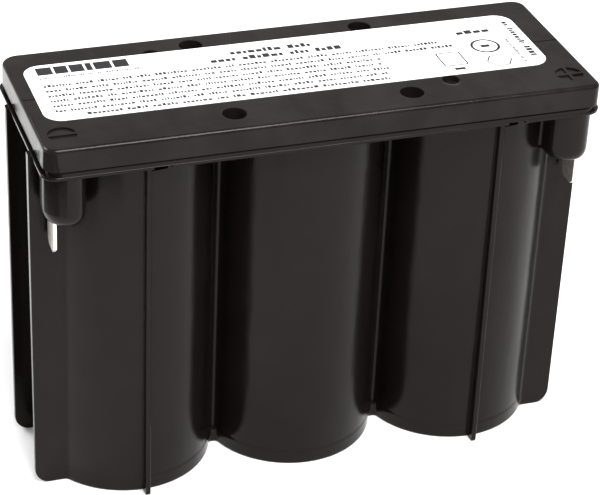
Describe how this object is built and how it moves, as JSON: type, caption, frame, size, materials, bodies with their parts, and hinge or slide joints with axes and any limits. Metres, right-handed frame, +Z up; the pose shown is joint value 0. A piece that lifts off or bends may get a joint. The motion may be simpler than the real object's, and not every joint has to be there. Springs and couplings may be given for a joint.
{
  "type": "sealed lead acid battery block",
  "caption": "Sealed lead acid battery block with round cells in one ribbed black case, a flat labelled lid and a push-on tab under each front corner.",
  "frame": {"origin": "centre of the base, on the surface it stands on", "axes": "+X along the block towards the positive end, -Y towards the side with the terminals, +Z up"},
  "size_m": [0.1422, 0.052, 0.1031],
  "materials": {
    "case_plastic": "satin black moulded plastic with a soft sheen",
    "label_film": "smooth white printed film",
    "inner_plastic": "plain moulded plastic",
    "lead": "dull cast lead",
    "lead_dioxide": "dark brown pasted plate",
    "sponge_lead": "grey pasted plate",
    "glass_mat": "soft white glass fibre mat",
    "tinned_brass": "bright tin plate with fine wear",
    "rubber": "matt black rubber",
    "epoxy": "glossy poured epoxy"
  },
  "bodies": {
    "battery": {"container": "case_plastic", "top_cover": "case_plastic", "label": "label_film", "cell_1_negative_plate": "sponge_lead", "cell_1_positive_plate": "lead_dioxide", "cell_1_separator": "glass_mat", "cell_1_negative_post": "lead", "cell_1_positive_post": "lead", "cell_1_negative_post_seal": "rubber", "cell_1_positive_post_seal": "rubber", "cell_1_lid": "inner_plastic", "cell_2_negative_plate": "sponge_lead", "cell_2_positive_plate": "lead_dioxide", "cell_2_separator": "glass_mat", "cell_2_negative_post": "lead", "cell_2_positive_post": "lead", "cell_2_negative_post_seal": "rubber", "cell_2_positive_post_seal": "rubber", "cell_2_lid": "inner_plastic", "cell_3_negative_plate": "sponge_lead", "cell_3_positive_plate": "lead_dioxide", "cell_3_separator": "glass_mat", "cell_3_negative_post": "lead", "cell_3_positive_post": "lead", "cell_3_negative_post_seal": "rubber", "cell_3_positive_post_seal": "rubber", "cell_3_lid": "inner_plastic", "intercell_connector_1_2": "lead", "intercell_connector_2_3": "lead", "negative_terminal_tab": "tinned_brass", "positive_terminal_tab": "tinned_brass", "negative_terminal_potting": "epoxy", "positive_terminal_potting": "epoxy"},
    "valve_1": {"cell_1_relief_valve": "rubber"},
    "valve_2": {"cell_2_relief_valve": "rubber"},
    "valve_3": {"cell_3_relief_valve": "rubber"}
  },
  "joints": [
    {"name": "valve_1_lift", "type": "slide", "parent": "battery", "child": "valve_1", "axis": [0, 0, 1], "range_m": [0, 0.0006], "stiffness_N_per_m": 2000, "springref_m": -0.001},
    {"name": "valve_2_lift", "type": "slide", "parent": "battery", "child": "valve_2", "axis": [0, 0, 1], "range_m": [0, 0.0006], "stiffness_N_per_m": 2000, "springref_m": -0.001},
    {"name": "valve_3_lift", "type": "slide", "parent": "battery", "child": "valve_3", "axis": [0, 0, 1], "range_m": [0, 0.0006], "stiffness_N_per_m": 2000, "springref_m": -0.001}
  ]
}
